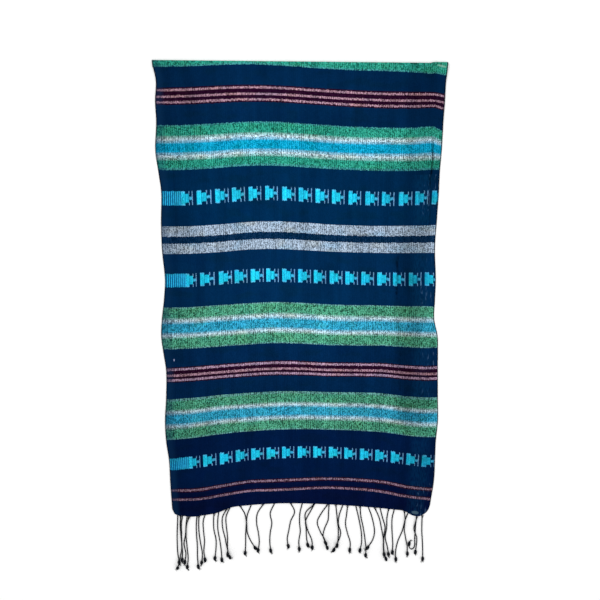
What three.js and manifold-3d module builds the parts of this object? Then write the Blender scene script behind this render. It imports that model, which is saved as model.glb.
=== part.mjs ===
// A hand-woven cotton scarf, folded in half across its length and laid flat, its two fringes together.
// Millimetres, +Z up. The fold runs along X at the +Y end, and the fringes point towards -Y.
import * as THREE from "three";
import { mergeVertices } from "three/addons/utils/BufferGeometryUtils.js";
import Module from "manifold-3d";

const wasm = await Module();
wasm.setup();

// The cut is 540 wide and 1780 long between its hems.
const hemAt = 889; // fold to hem, down the middle of the upper half
const hemSagLeft = 30; // how much further the hem lies from the fold at its left end
const hemSagRight = 24;
const sagFrom = -0.1; // where across the cloth the hem lies nearest the fold, from -1 to 1
const sagPower = 1.7;
const cornerLeft = 16; // radii of the hem's two corners
const cornerRight = 36;
const lowerShort = 9; // the lower half's hem stops this much sooner

const wall = 1.2; // thickness of the cloth
const gap = 0.3; // between one piece and the next
const rollRadius = 2.9; // the fold's roll, to the middle of the cloth
const rollWaver = 0.35; // how much the roll swells and narrows along the fold
const rollReach = 12; // the roll's cloth runs this far back along the floor
const settleBy = 46; // where the upper half has come down from the roll
const hemLift = 1; // the upper hem rides this much higher, over the lower fringe
const hemLiftOver = 30;

// The lower half is a little narrower, so the upper half hangs over its edges.
const lowerLeft = -0.98;
const lowerRight = 0.912;
const insetFrom = 20; // distances from the fold where the lower half draws in
const insetBy = 100;
const dropLeft = { from: -0.985, by: -1.015 };
const dropRight = { from: 0.92, by: 0.955 };
const dropFrom = 110;
const dropBy = 170;

const stripWide = 3; // the woven strip that the fringe hangs from
const cordRadius = 1.1;
const rootRadius = 0.45;
const rootTaper = 8; // over which a strand grows to its full thickness
const rootFall = 16; // over which a front strand comes down to the floor
const cordStep = 9;
const floorGap = 0.2;
// The knot near each strand's tip: how far before the tip, and how thick it is there.
const knotRings = [
  { before: 12, radius: 1.1 },
  { before: 9.5, radius: 2.4 },
  { before: 6.5, radius: 2.9 },
  { before: 3.5, radius: 2.2 },
  { before: 2.2, radius: 1 },
  { before: 0, radius: 0.7 },
];

// The upper half's outline, a row for each section across it: at is the distance from the fold, and left
// and right are its edges there.
const sections = [
  { at: -14, left: -271.5, right: 271.5 },
  { at: 0, left: -271.5, right: 271.5 },
  { at: 35, left: -266, right: 269.5 },
  { at: 70, left: -269, right: 269 },
  { at: 110, left: -268.5, right: 267.5 },
  { at: 160, left: -272.5, right: 267 },
  { at: 200, left: -268.5, right: 265 },
  { at: 240, left: -264.5, right: 264.5 },
  { at: 295, left: -267, right: 263 },
  { at: 350, left: -267.5, right: 261.5 },
  { at: 410, left: -264, right: 265.5 },
  { at: 450, left: -267.5, right: 265.5 },
  { at: 490, left: -273, right: 265.5 },
  { at: 525, left: -276, right: 273.5 },
  { at: 555, left: -273.5, right: 275.5 },
  { at: 600, left: -269, right: 277 },
  { at: 660, left: -271.5, right: 279.5 },
  { at: 705, left: -275.5, right: 281.5 },
  { at: 750, left: -275, right: 279 },
  { at: 795, left: -270.5, right: 279 },
  { at: 840, left: -270, right: 278.5 },
  { at: 890, left: -268.5, right: 273 },
  { at: 930, left: -267, right: 270 },
];

// Soft folds in the upper half: the middle of each ridge, its length and width, how far it leans from
// straight down, in degrees, and its height.
const ridges = [
  { across: 196, down: 545, long: 330, wide: 62, lean: 2, high: 1.6 },
  { across: -214, down: 640, long: 300, wide: 70, lean: -3, high: 1.2 },
  { across: 62, down: 118, long: 150, wide: 60, lean: 82, high: 1 },
  { across: -120, down: 330, long: 260, wide: 90, lean: 24, high: 1 },
  { across: 30, down: 770, long: 280, wide: 90, lean: -30, high: 1.1 },
  { across: 205, down: 190, long: 190, wide: 64, lean: -2, high: 1.3 },
];

// Where each strand leaves the hem, how far down its tip lies, and how far to the side it has strayed at
// each fifth of that drop. A curl turns its last stretch through that many degrees.
const frontStrands = [
  { root: -251, drop: 134, stray: [-1.5, -0.5, 0, -5, -11] },
  { root: -232, drop: 126, stray: [-7, -9, -8, -6.5, -7.5] },
  { root: -212, drop: 117, stray: [-1.5, -1.5, 1, 4, 1.5] },
  { root: -180, drop: 114, stray: [-2, -2, 2, 1, -1.5] },
  { root: -153, drop: 114, stray: [-10, -10.5, -6, -1.5, 3.5] },
  { root: -126, drop: 107, stray: [10.5, 13.5, 14.5, 21.5, 32.5] },
  { root: -76, drop: 120, stray: [-13.5, -15.5, -12, -10.5, -14] },
  { root: -20, drop: 112, stray: [8.5, 0.5, -3.5, -7, -3] },
  { root: 31, drop: 111, stray: [-19, -19, -14, -6, -3] },
  { root: 59, drop: 114, stray: [-13.5, -22.5, -17, -5.5, 0.5] },
  { root: 75, drop: 103, stray: [2, 4, 6, 5.5, 3] },
  { root: 100, drop: 118, stray: [-2, -4, 0.5, 6.5, 5.5] },
  { root: 126, drop: 124, stray: [2, 7, 11, 13.5, 13.5] },
  { root: 156, drop: 128, stray: [10.5, 16, 20.5, 22, 27] },
  { root: 186, drop: 109, stray: [-3, -3, -5.5, -0.5, 2.5] },
  { root: 219, drop: 101, stray: [2, 1, 4.5, 8.5, 9.5] },
  { root: 246, drop: 97, stray: [-2, -5.5, 1, 0, -3] },
  { root: 257, drop: 112, stray: [0, 0.5, 2.5, 4, 5] },
];
const backStrands = [
  { root: -257, drop: 124, stray: [-1.5, -3, -3.5, -3, -2] },
  { root: -246, drop: 99, stray: [-4, -4.5, -5, -4, -2.5] },
  { root: -236, drop: 114, stray: [-4, -6, -10, -7, -11] },
  { root: -215, drop: 129, stray: [-3.5, -4, -3, -3.5, -4] },
  { root: -194, drop: 114, stray: [-9.5, -10, -8.5, -10.5, -8.5] },
  { root: -169, drop: 121, stray: [-4, -4.5, -1, 1.5, 2.5] },
  { root: -146, drop: 124, stray: [-9.5, -9.5, -7.5, -8, -7] },
  { root: -102, drop: 120, stray: [-8.5, -11.5, -13, -13.5, -14] },
  { root: -53, drop: 123, stray: [-9.5, -6.5, -10, -11, -9] },
  { root: 5, drop: 117, stray: [-5, -6, -4.5, -7.5, -6] },
  { root: 31, drop: 102, stray: [-10, -19, -18, -17, -16.5] },
  { root: 61, drop: 96, stray: [-1, -2, -9, -12, -5.5] },
  { root: 90, drop: 117, stray: [-7, -9, -4, -10, -19] },
  { root: 117, drop: 113, stray: [5, 9.5, 13, 13.5, 11] },
  { root: 143, drop: 104, stray: [7, 12, 14.5, 10, 0.5] },
  { root: 168, drop: 117, stray: [5.5, 11.5, 9.5, 8, 6] },
  { root: 198, drop: 111, stray: [-4, -4, -2.5, -1, -2] },
  { root: 229, drop: 116, stray: [-8, -13, -21.5, -25.5, -24.5] },
  { root: 246, drop: 68, stray: [-1, -2, -3, -3, -4], curl: -190 },
];
const curlRadius = 6;

const mid = (a, b, t) => a + (b - a) * t;
const clamp = (t) => Math.min(1, Math.max(0, t));
const ease = (t) => clamp(t) * clamp(t) * (3 - 2 * clamp(t));

// A column of a table at any distance, through a smooth curve over its rows.
function readAcross(rows, column, at) {
  const last = rows.length - 2;
  const i = Math.min(last, Math.max(0, rows.findIndex((row) => row.at > at) - 1));
  const k = at > rows[last].at ? last : i;
  const value = (n) => rows[Math.min(last + 1, Math.max(0, n))][column];
  const t = clamp((at - rows[k].at) / (rows[k + 1].at - rows[k].at));
  const slope = (n) => (value(n + 1) - value(n - 1)) / 2;
  const [a, b] = [value(k), value(k + 1)];
  return a + t * slope(k) + t * t * (3 * (b - a) - 2 * slope(k) - slope(k + 1)) +
    t * t * t * (2 * (a - b) + slope(k) + slope(k + 1));
}

// Where a thread lies across the cloth: u runs from -1 at the left edge to 1 at the right.
function acrossAt(u, down) {
  return mid(readAcross(sections, "left", down), readAcross(sections, "right", down), (u + 1) / 2);
}

// How far from the fold the hem lies: lowest at its two ends, with the corners rounded off.
function hemLine(u) {
  const sag = u < sagFrom
    ? hemSagLeft * ((sagFrom - u) / (1 + sagFrom)) ** sagPower
    : hemSagRight * ((u - sagFrom) / (1 - sagFrom)) ** sagPower;
  const radius = u < 0 ? cornerLeft : cornerRight;
  const inside = (acrossAt(1, hemAt) - acrossAt(-1, hemAt)) / 2 * (1 - Math.abs(u));
  const t = clamp(1 - inside / radius);
  return hemAt + sag - radius * (1 - Math.sqrt(1 - t * t));
}

// The distance from the fold of a row of the cloth: straight at the fold, and along the hem at the end.
function downAt(u, row) {
  return row <= 0 ? row : row + (hemLine(u) - hemAt) * (row / hemAt) ** 2;
}

// The height of the soft folds over the flat cloth.
function ridgeHeight(x, down) {
  return ridges.reduce((sum, ridge) => {
    const lean = THREE.MathUtils.degToRad(ridge.lean);
    const [dx, dy] = [x - ridge.across, down - ridge.down];
    const side = (dx * Math.cos(lean) - dy * Math.sin(lean)) / (ridge.wide / 2);
    const along = (dx * Math.sin(lean) + dy * Math.cos(lean)) / (ridge.long / 2);
    return sum + ridge.high * Math.exp(-side * side - along ** 4);
  }, 0);
}

// The middle of the upper half's wall, clear of the roll: over the lower half, and down beside it.
function upperHeight(u, down) {
  const raised = wall * 1.5 + gap + ridgeHeight(acrossAt(u, down), down) * ease((down - 40) / 60) +
    hemLift * ease((down - hemLine(u) + hemLiftOver + 10) / hemLiftOver);
  const past = (edge) => ease((u - edge.from) / (edge.by - edge.from));
  const beside = Math.max(past(dropLeft), past(dropRight)) * ease((down - dropFrom) / (dropBy - dropFrom));
  return mid(raised, wall / 2 + gap, beside);
}

// A point of the upper half, out of the middle of its wall by half a thickness either way: along the
// floor inside the fold, round the roll, and over the top.
function upperPoint(u, row, out) {
  const rise = rollRadius + rollWaver * Math.sin(4.1 * u + 0.6) * Math.cos(1.7 * u);
  const down = downAt(u, row);
  const x = acrossAt(u, down);
  if (row < -rollRadius) return [x, row, wall / 2 - out];
  if (row > rollRadius) {
    const settled = ease((down - rollRadius) / (settleBy - rollRadius));
    return [x, -down, mid(wall / 2 + 2 * rise, upperHeight(u, down), settled) + out];
  }
  const angle = (Math.PI / 2) * (row / rollRadius);
  const reach = rise + out;
  return [x, reach * Math.cos(angle) - rise, wall / 2 + rise + reach * Math.sin(angle)];
}

// A point of the lower half, which lies flat on the floor under the upper one and is a little narrower.
function lowerPoint(c, row, out) {
  const inset = ease((row - insetFrom) / (insetBy - insetFrom));
  const u = mid(mid(-1, lowerLeft, inset), mid(1, lowerRight, inset), (c + 1) / 2);
  const down = downAt(u, row);
  return [acrossAt(u, down), -down, wall / 2 + out];
}

// A closed mesh from two grids of points, outer and inner, joined round their rims.
function sheetMesh(columns, rows, point) {
  const [across, along] = [columns.length, rows.length];
  const positions = [wall / 2, -wall / 2].flatMap((out) =>
    rows.flatMap((row) => columns.flatMap((u) => point(u, row, out))));
  const at = (side, j, i) => (side * along + j) * across + i;
  const faces = [];
  const quad = (a, b, c, d) => faces.push(a, b, c, a, c, d);
  for (let j = 0; j < along - 1; j++) {
    for (let i = 0; i < across - 1; i++) {
      quad(at(0, j, i), at(0, j + 1, i), at(0, j + 1, i + 1), at(0, j, i + 1));
      quad(at(1, j, i), at(1, j, i + 1), at(1, j + 1, i + 1), at(1, j + 1, i));
    }
    quad(at(0, j, 0), at(1, j, 0), at(1, j + 1, 0), at(0, j + 1, 0));
    quad(at(0, j, across - 1), at(0, j + 1, across - 1), at(1, j + 1, across - 1), at(1, j, across - 1));
  }
  for (let i = 0; i < across - 1; i++) {
    quad(at(0, 0, i), at(0, 0, i + 1), at(1, 0, i + 1), at(1, 0, i));
    quad(at(0, along - 1, i), at(1, along - 1, i), at(1, along - 1, i + 1), at(0, along - 1, i + 1));
  }
  return indexed(positions, faces);
}

function indexed(positions, faces) {
  const geometry = new THREE.BufferGeometry();
  geometry.setAttribute("position", new THREE.Float32BufferAttribute(positions, 3));
  geometry.setIndex(faces);
  return geometry;
}

const evenly = (from, to, steps) => Array.from({ length: steps + 1 }, (_, i) => mid(from, to, i / steps));
const rollRows = [-rollReach, ...evenly(-rollRadius, rollRadius, 6)];
const clothRows = [...evenly(12, settleBy, 4), ...evenly(settleBy, hemAt, 27).slice(1)];
const upperColumns = [-1, dropLeft.from, ...evenly(-0.95, 0.87, 20), dropRight.from, 0.938,
  dropRight.by, 0.98, 1];
const lowerColumns = [-1, -0.97, ...evenly(-0.92, 0.9, 12), 0.96, 1];
const lowerRows = [rollReach + gap, ...clothRows.slice(1, -1), hemAt - lowerShort];

// The strip that a fringe hangs from, past the end of its cloth and as thick.
function stripMesh(columns, point, lastRow) {
  return sheetMesh(columns, [gap, gap + stripWide], (u, beyond, out) => {
    const [x, y, z] = point(u, lastRow, out);
    return [x, y - beyond, z];
  });
}

// The u that lies at x along the hem.
function threadAt(x) {
  const [left, right] = [acrossAt(-1, hemAt), acrossAt(1, hemAt)];
  return ((x - left) / (right - left)) * 2 - 1;
}

// A strand's way in plan, as points from the strip through its strays to its curl.
function strandRoute({ root, drop, stray, curl = 0 }, isBack) {
  const hem = hemLine(threadAt(root));
  const start = hem + gap + stripWide / 2 - (isBack ? lowerShort : 0);
  const points = [[root, start]];
  if (isBack) points.push([root, hem]);
  stray.forEach((side, i) => points.push([root + side, hem + (drop * (i + 1)) / stray.length]));
  const [x, y] = points.at(-1);
  const sweep = THREE.MathUtils.degToRad(curl);
  const side = Math.sign(curl) * curlRadius;
  for (let part = 1; curl && part <= 5; part++) {
    const angle = Math.abs(sweep) * (part / 5);
    points.push([x + side * (1 - Math.cos(angle)), y + curlRadius * Math.sin(angle)]);
  }
  return new THREE.CatmullRomCurve3(points.map(([px, down]) => new THREE.Vector3(px, -down, 0)));
}

// How thick a strand is at a distance along it: thin at its root, and knotted near its tip.
function strandRadius(along, length) {
  const before = length - along;
  if (before > knotRings[0].before) return mid(rootRadius, cordRadius, clamp(along / rootTaper));
  const k = Math.max(1, knotRings.findIndex((ring) => ring.before <= before + 1e-6));
  const [a, b] = [knotRings[k - 1], knotRings[k]];
  return mid(a.radius, b.radius, (a.before - before) / (a.before - b.before));
}

// A strand as a list of rings, each a centre and a radius, lying just above the floor.
function strandRings(strand, isBack) {
  const route = strandRoute(strand, isBack);
  const length = route.getLength();
  const plain = length - knotRings[0].before;
  const steps = Math.ceil(plain / cordStep);
  const stops = [...evenly(0, plain, steps), ...knotRings.slice(1).map((ring) => length - ring.before)];
  return stops.map((along) => {
    const radius = strandRadius(along, length);
    const centre = route.getPointAt(along / length);
    centre.z = isBack && along === 0 ? wall / 2 : radius + floorGap;
    return { centre, radius, along };
  });
}

// The height that clears every lower strand where a front strand's centre passes over at a point.
function clearHeight(point, radius, others) {
  let height = 0;
  const [closest, line] = [new THREE.Vector3(), new THREE.Line3()];
  for (const rings of others) {
    for (let i = 0; i + 1 < rings.length; i++) {
      const [a, b] = [rings[i], rings[i + 1]];
      const low = (ring) => new THREE.Vector3(ring.centre.x, ring.centre.y, 0);
      line.set(low(a), low(b));
      const t = line.closestPointToPointParameter(point, true);
      const room = mid(a.radius, b.radius, t) + radius + gap;
      const apart = line.at(t, closest).distanceTo(point);
      if (apart < room) {
        height = Math.max(height, mid(a.centre.z, b.centre.z, t) + Math.sqrt(room ** 2 - apart ** 2));
      }
    }
  }
  return height;
}

// Lifts a front strand over the back ones: each ring takes the greatest height needed up to its neighbours.
function liftOver(rings, others) {
  const needed = rings.map((ring, i) => {
    const heights = [ring, rings[i + 1] ?? ring].flatMap((end) => evenly(0, 1, 8).map((t) => {
      const point = ring.centre.clone().lerp(end.centre, t).setZ(0);
      return clearHeight(point, Math.max(ring.radius, end.radius), others);
    }));
    return Math.max(...heights);
  });
  const u = threadAt(rings[0].centre.x);
  const hemHeight = upperHeight(u, hemLine(u));
  return rings.map((ring, i) => {
    const fall = mid(hemHeight, 0, ease(ring.along / rootFall));
    const over = i === 0 ? fall : Math.max(needed[i], needed[i - 1], fall, ring.centre.z);
    return { ...ring, centre: ring.centre.clone().setZ(over) };
  });
}

// A four-sided tube through a strand's rings, with its ends closed.
function strandMesh(rings) {
  const sides = 4;
  const up = new THREE.Vector3(0, 0, 1);
  const positions = rings.flatMap(({ centre, radius }, j) => {
    const before = rings[Math.max(0, j - 1)].centre;
    const after = rings[Math.min(rings.length - 1, j + 1)].centre;
    const ahead = after.clone().sub(before).normalize();
    const side = ahead.clone().cross(up).normalize();
    const over = side.clone().cross(ahead);
    return evenly(0, 1, sides).slice(1).flatMap((t) => {
      const angle = 2 * Math.PI * t + Math.PI / sides;
      return centre.clone().addScaledVector(side, radius * Math.cos(angle))
        .addScaledVector(over, radius * Math.sin(angle)).toArray();
    });
  });
  const faces = [];
  const at = (j, i) => j * sides + (i % sides);
  for (let j = 0; j + 1 < rings.length; j++) {
    for (let i = 0; i < sides; i++) {
      faces.push(at(j, i), at(j + 1, i + 1), at(j, i + 1), at(j, i), at(j + 1, i), at(j + 1, i + 1));
    }
  }
  const last = rings.length - 1;
  for (let i = 1; i < sides - 1; i++) {
    faces.push(at(0, 0), at(0, i), at(0, i + 1));
    faces.push(at(last, 0), at(last, i + 1), at(last, i));
  }
  return indexed(positions, faces);
}

function solidOf(geometry) {
  const merged = mergeVertices(geometry, 1e-4);
  return new wasm.Manifold(new wasm.Mesh({
    numProp: 3,
    vertProperties: merged.attributes.position.array,
    triVerts: new Uint32Array(merged.index.array),
  }));
}

// One fringe: its strands joined into the strip they hang from.
function fringeMesh(strip, strands) {
  const whole = strands.reduce((sum, rings) => sum.add(solidOf(strandMesh(rings))), solidOf(strip));
  const { vertProperties, triVerts } = whole.getMesh();
  return indexed(Array.from(vertProperties), Array.from(triVerts));
}

function clothFinish(color, roughness) {
  return new THREE.MeshStandardMaterial({ color, roughness, metalness: 0 });
}

function makeScarf() {
  const backRings = backStrands.map((strand) => strandRings(strand, true));
  const frontRings = frontStrands.map((strand) => liftOver(strandRings(strand, false), backRings));
  const upperStrip = stripMesh(upperColumns, upperPoint, hemAt);
  const lowerStrip = stripMesh(lowerColumns, lowerPoint, hemAt - lowerShort);
  const pieces = [
    ["front_half", sheetMesh(upperColumns, [...rollRows, ...clothRows], upperPoint), "#0d2e55"],
    ["back_half", sheetMesh(lowerColumns, lowerRows, lowerPoint), "#0b2748"],
    ["fringe_front", fringeMesh(upperStrip, frontRings), "#14181f"],
    ["fringe_back", fringeMesh(lowerStrip, backRings), "#11151b"],
  ];
  const scarf = new THREE.Group();
  for (const [name, geometry, color] of pieces) {
    geometry.computeVertexNormals();
    const mesh = new THREE.Mesh(geometry, clothFinish(color, 0.9));
    mesh.name = name;
    scarf.add(mesh);
  }
  const box = new THREE.Box3().setFromObject(scarf, true);
  const centre = box.getCenter(new THREE.Vector3());
  scarf.position.set(-centre.x, -centre.y, -box.min.z);
  return scarf;
}

export default makeScarf();
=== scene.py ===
# A hand-woven cotton scarf, folded in half and laid flat, with knotted warp fringes at both ends.
# Tables and dictionaries are in millimetres unless a note says otherwise; the meshes are in metres.
import math

import bpy
import numpy as np
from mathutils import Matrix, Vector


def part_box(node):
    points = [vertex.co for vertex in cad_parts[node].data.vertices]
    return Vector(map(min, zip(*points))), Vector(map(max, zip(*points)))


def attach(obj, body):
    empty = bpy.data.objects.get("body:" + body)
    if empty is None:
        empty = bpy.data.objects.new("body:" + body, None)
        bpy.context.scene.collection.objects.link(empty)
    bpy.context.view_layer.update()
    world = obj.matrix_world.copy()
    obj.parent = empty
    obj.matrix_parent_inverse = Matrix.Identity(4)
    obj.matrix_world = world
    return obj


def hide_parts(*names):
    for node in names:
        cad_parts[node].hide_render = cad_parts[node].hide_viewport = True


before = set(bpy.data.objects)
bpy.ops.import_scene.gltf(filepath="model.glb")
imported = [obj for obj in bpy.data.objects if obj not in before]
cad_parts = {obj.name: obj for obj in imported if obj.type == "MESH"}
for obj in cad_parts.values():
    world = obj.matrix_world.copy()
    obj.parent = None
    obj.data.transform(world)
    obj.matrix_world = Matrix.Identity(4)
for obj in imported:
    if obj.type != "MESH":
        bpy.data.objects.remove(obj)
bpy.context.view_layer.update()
mm = 0.001
print("frame loaded")

# the cloth: its outline, the waves of its weft, its folds and its creases

cloth = {
    "hemAt": 889,           # fold to hem, down the middle of the upper half
    "hemSagLeft": 30,       # how much further the hem lies from the fold at each end
    "hemSagRight": 24,
    "sagFrom": -0.1,        # where across the cloth the hem lies nearest the fold, from -1 to 1
    "sagPower": 1.7,
    "cornerLeft": 16,
    "cornerRight": 28,
    "dipsFrom": 600,        # the hem's dips grow from here
    "wall": 1.2,            # the frame's wall, whose outer faces the cloth follows
    "gap": 0.3,
    "thick": 0.7,           # the cloth itself
    "rollRadius": 2.9,      # of the fold, to the middle of the wall
    "rollWaver": 0.35,
    "rollWaves": (4.1, 0.6, 1.7),  # rate and start of one slow wave, and rate of another
    "rollReach": 12,
    "settleBy": 46,
    "foldsOver": (40, 100),  # from the fold, where the broad folds rise, and below it the creases
    "creasesOver": (12, 42),
    "creaseDeepest": -1.2,
    "hemLift": 1,
    "hemLiftOver": (-40, -10),  # from the hem
    "halfWidth": 270,       # half the loom width
    "repeat": 531.5,        # length of one repeat of the stripes
}
lower = {
    "short": 9,             # the lower half's hem stops this much sooner
    "left": -0.98,          # its edges, by the upper half's -1 to 1
    "right": 0.912,
    "insetOver": (20, 100),
    "uneven": 0.2,
    "unevenOver": (14, 44),
    "waves": (21, 10, 60),  # seed, number and size
    "hemHigh": 0.6,         # of the middle of its cloth at the hem
}
# where the upper half comes down beside the lower one, at its edges and down its length
drop = {"left": (-0.985, -1.015), "right": (0.92, 0.955), "over": (110, 170)}

# distance from the fold, left edge, right edge
sections = np.array([
    (-14, -271.5, 271.5), (0, -271.5, 271.5), (35, -266, 269.5), (70, -269, 269), (110, -268.5, 267.5),
    (160, -272.5, 267), (200, -268.5, 265), (240, -264.5, 264.5), (295, -267, 263), (350, -267.5, 261.5),
    (410, -264, 265.5), (450, -267.5, 265.5), (490, -273, 265.5), (525, -276, 273.5), (555, -273.5, 275.5),
    (600, -269, 277), (660, -271.5, 279.5), (705, -275.5, 281.5), (750, -275, 279), (795, -270.5, 279),
    (840, -270, 278.5), (890, -268.5, 273), (930, -267, 270),
])
# the weft's waves: the places across the cloth, and then for each place along it, how much nearer the hem
# the weft lies at each of them
waveAcross = np.array([-1, -0.8, -0.6, -0.4, -0.2, 0, 0.2, 0.4, 0.6, 0.8, 0.93, 1])
weftWave = np.array([
    (0, 1.5, 0, -2.5, -5, -4, -1, 2, 4, 4.5, 7, 10.5, 14),
    (60, 1.5, 0.5, -2, -4, -3.5, -0.5, 3, 6, 8, 8.5, 8.5, 12),
    (110, 3, 2.5, 0, -3, -3.5, -0.5, 3, 6, 7.5, 7.5, 5.5, 13),
    (140, 4.5, 4, 1.5, -2, -2.5, -0.5, 3.5, 6, 6.5, 6.5, 4.5, 10),
    (175, 5.5, 5, 2.5, -1.5, -2.5, 0, 3.5, 6, 7, 7, 5.5, 6),
    (244, 7.5, 7.5, 3, -0.5, -2.5, 0.5, 4, 7, 8.5, 8, 6, 6),
    (324, 7, 6.5, 4, -1, -3, -1, 2.5, 4.5, 5.5, 5, 5, 4.5),
    (402, 10, 9, 4.5, 0.5, -1, 0.5, 3, 5, 6.5, 7.5, 7, 8),
    (498, 10, 8.5, 5, 1.5, -2, -1, 2.5, 4, 4, 6, 7, 7.5),
    (592, 14.5, 11, 6.5, 2, -1, -0.5, 2, 2.5, 3.5, 8.5, 10.5, 10),
    (683, 19, 15, 8, 3.5, 0, -1, 0, 1, 4.5, 12, 14.5, 14.5),
    (774, 28, 22, 14, 5.5, 2, -0.5, 0, 4, 8, 16, 20, 20.5),
    (846, 23.5, 22.5, 13, 3.5, 1, -1.7, -3.3, -1, 4, 15.3, 20, 22.5),
    (890, 24, 21, 11.5, 2.5, 0.5, -3.5, -5.5, -1, 6, 15, 20, 24),
])
# the warp's middle and half width at some distances from the fold, clear of the edges' waves
warpLies = np.array([
    (0, 0, 271), (244, 0, 264.5), (410, 0.8, 264.8), (590, 3, 273), (785, 3.8, 275.3), (930, 2, 271),
])
warpFreeOver = (0.9, 0.97)  # the warp lies free of the edge inside the first, and with it past the second
# the fold's slope in the middle and what the right end adds, how far down it's gone, and its turn back
foldSlope = {"middle": 0.8, "right": 2.7, "gone": 60, "backUp": 1.6, "backUpOver": (0.88, 0.91)}
# how far the hem hangs past its plain curve: across, half width, further down
hemDips = [(-0.75, 0.17, 10.5), (0.935, 0.105, 10)]
# broad folds, as the frame has them: across, down, long, wide, lean in degrees, high
ridges = [
    (196, 545, 330, 62, 2, 1.6), (-214, 640, 300, 70, -3, 1.2), (62, 118, 150, 60, 82, 1),
    (-120, 330, 260, 90, 24, 1), (30, 770, 280, 90, -30, 1.1), (205, 190, 190, 64, -2, 1.3),
]
# creases, only here: the same columns, with a height below 0 for a trough
creases = [
    (244, 196, 130, 8, 1, -1.2), (250, 190, 120, 12, 1, 0.5), (193, 402, 105, 8, 1, -1.1),
    (196, 600, 330, 10, -1, -0.5), (203, 420, 140, 14, 0, 0.5), (-142, 97, 76, 7, 88, -0.7),
    (112, 97, 108, 6, 91, -0.8), (104, 88, 84, 8, 87, 0.45), (-60, 214, 90, 9, 70, 0.35),
    (150, 372, 60, 7, 40, -0.4), (-238, 505, 70, 12, 62, 0.7), (-232, 716, 96, 12, 55, 0.6),
    (238, 548, 60, 12, -52, 0.8), (242, 700, 90, 12, -40, 0.6), (-205, 858, 90, 14, 40, 0.7),
    (214, 862, 80, 14, -42, 0.8), (20, 868, 150, 10, 87, 0.5), (-90, 600, 130, 12, 20, 0.35),
    (80, 470, 120, 12, -25, 0.35), (-30, 690, 150, 14, 80, 0.3), (-244, 60, 80, 14, 20, 0.6),
]
# fine unevenness all over: high, seed, number of waves, and their size
rumples = [(0.13, 4, 14, 55), (0.05, 9, 16, 17)]


def ease(t):  # smooth step from 0 to 1: 3t^2 - 2t^3
    t = np.clip(t, 0, 1)
    return t * t * (3 - 2 * t)


def rising(value, start, end):  # 0 up to the start and 1 from the end on, with a smooth step between
    return ease((value - start) / (end - start))


def cubic(a, b, m, n, t):  # from a to b with the slopes m and n there, as Hermite's polynomial has it
    return a + t * m + t**2 * (3 * (b - a) - 2 * m - n) + t**3 * (2 * (a - b) + m + n)


def readAcross(rows, column, at):  # a cubic through the rows, its slopes by half differences
    at = np.asarray(at, float)
    stops, value = rows[:, 0], rows[:, column]
    k = np.clip(np.searchsorted(stops, at, side="right") - 1, 0, len(stops) - 2)
    t = np.clip((at - stops[k]) / (stops[k + 1] - stops[k]), 0, 1)
    padded = np.concatenate([value[:1], value, value[-1:]])
    slope = (padded[2:] - padded[:-2]) / 2
    return cubic(value[k], value[k + 1], slope[k], slope[k + 1], t)


def acrossAt(u, down):  # straight across between the two edges, u from -1 to 1
    left, right = readAcross(sections, 1, down), readAcross(sections, 2, down)
    return left + (right - left) * (u + 1) / 2


def hemLine(u):  # the hem's distance: a power curve with its corners rounded off
    c, p = cloth["sagFrom"], cloth["sagPower"]
    sag = cloth["hemSagLeft"] * np.clip((c - u) / (1 + c), 0, None) ** p
    sag = sag + cloth["hemSagRight"] * np.clip((u - c) / (1 - c), 0, None) ** p
    radius = np.where(u < 0, cloth["cornerLeft"], cloth["cornerRight"])
    half = (acrossAt(1, cloth["hemAt"]) - acrossAt(-1, cloth["hemAt"])) / 2
    t = np.clip(1 - half * (1 - np.abs(u)) / radius, 0, 1)
    return cloth["hemAt"] + sag - radius * (1 - np.sqrt(1 - t * t))


def hemDip(u):  # how much further the hem hangs: flat-topped bells, exp(-t^4)
    return sum(far * np.exp(-(((u - at) / half) ** 4)) for at, half, far in hemDips)


def downAt(u, row):  # straight rows at the fold that bend to the hem as a square law
    bend = (hemLine(u) - cloth["hemAt"]) * (row / cloth["hemAt"]) ** 2
    return row + np.where(row > 0, bend + hemDip(u) * rising(row, cloth["dipsFrom"], cloth["hemAt"]), 0)


def foldShift(u, row):  # the fold's slope across the cloth, gone a little way down
    slope = foldSlope["middle"] + foldSlope["right"] * u
    slope = slope - foldSlope["backUp"] * rising(u, *foldSlope["backUpOver"])
    return slope * (1 - rising(row, 0, foldSlope["gone"]))


def weftAt(u, down):  # place along the cloth: its distance less the weft's wave there
    u, along = np.broadcast_arrays(u, down)
    k = np.clip(np.searchsorted(waveAcross, u, side="right") - 1, 0, len(waveAcross) - 2)
    t = (u - waveAcross[k]) / (waveAcross[k + 1] - waveAcross[k])
    for _ in range(3):
        waves = np.stack([readAcross(weftWave, c + 1, along) for c in range(len(waveAcross))])
        padded = np.concatenate([waves[:1], waves, waves[-1:]])
        before, a, b, after = (np.take_along_axis(padded, (k + i)[None], 0)[0] for i in range(4))
        along = down - cubic(a, b, (b - before) / 2, (after - a) / 2, t)
    return along


def warpAt(u, down):  # the warp thread that lies there, counted from the middle one
    middle, half = (np.interp(down, warpLies[:, 0], warpLies[:, k]) for k in (1, 2))
    inside = (acrossAt(u, down) - middle) / half
    return cloth["halfWidth"] * (inside + (u - inside) * rising(np.abs(u), *warpFreeOver))


def ridgeHeight(table, x, down):  # each row is a long soft bump: exp(-side^2 - along^4)
    height = np.zeros(np.broadcast(x, down).shape)
    for across, middle, long, wide, lean, high in table:
        c, s = math.cos(math.radians(lean)), math.sin(math.radians(lean))
        dx, dy = x - across, down - middle
        side, along = (dx * c - dy * s) / (wide / 2), (dx * s + dy * c) / (long / 2)
        height += high * np.exp(-side**2 - along**4)
    return height


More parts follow.
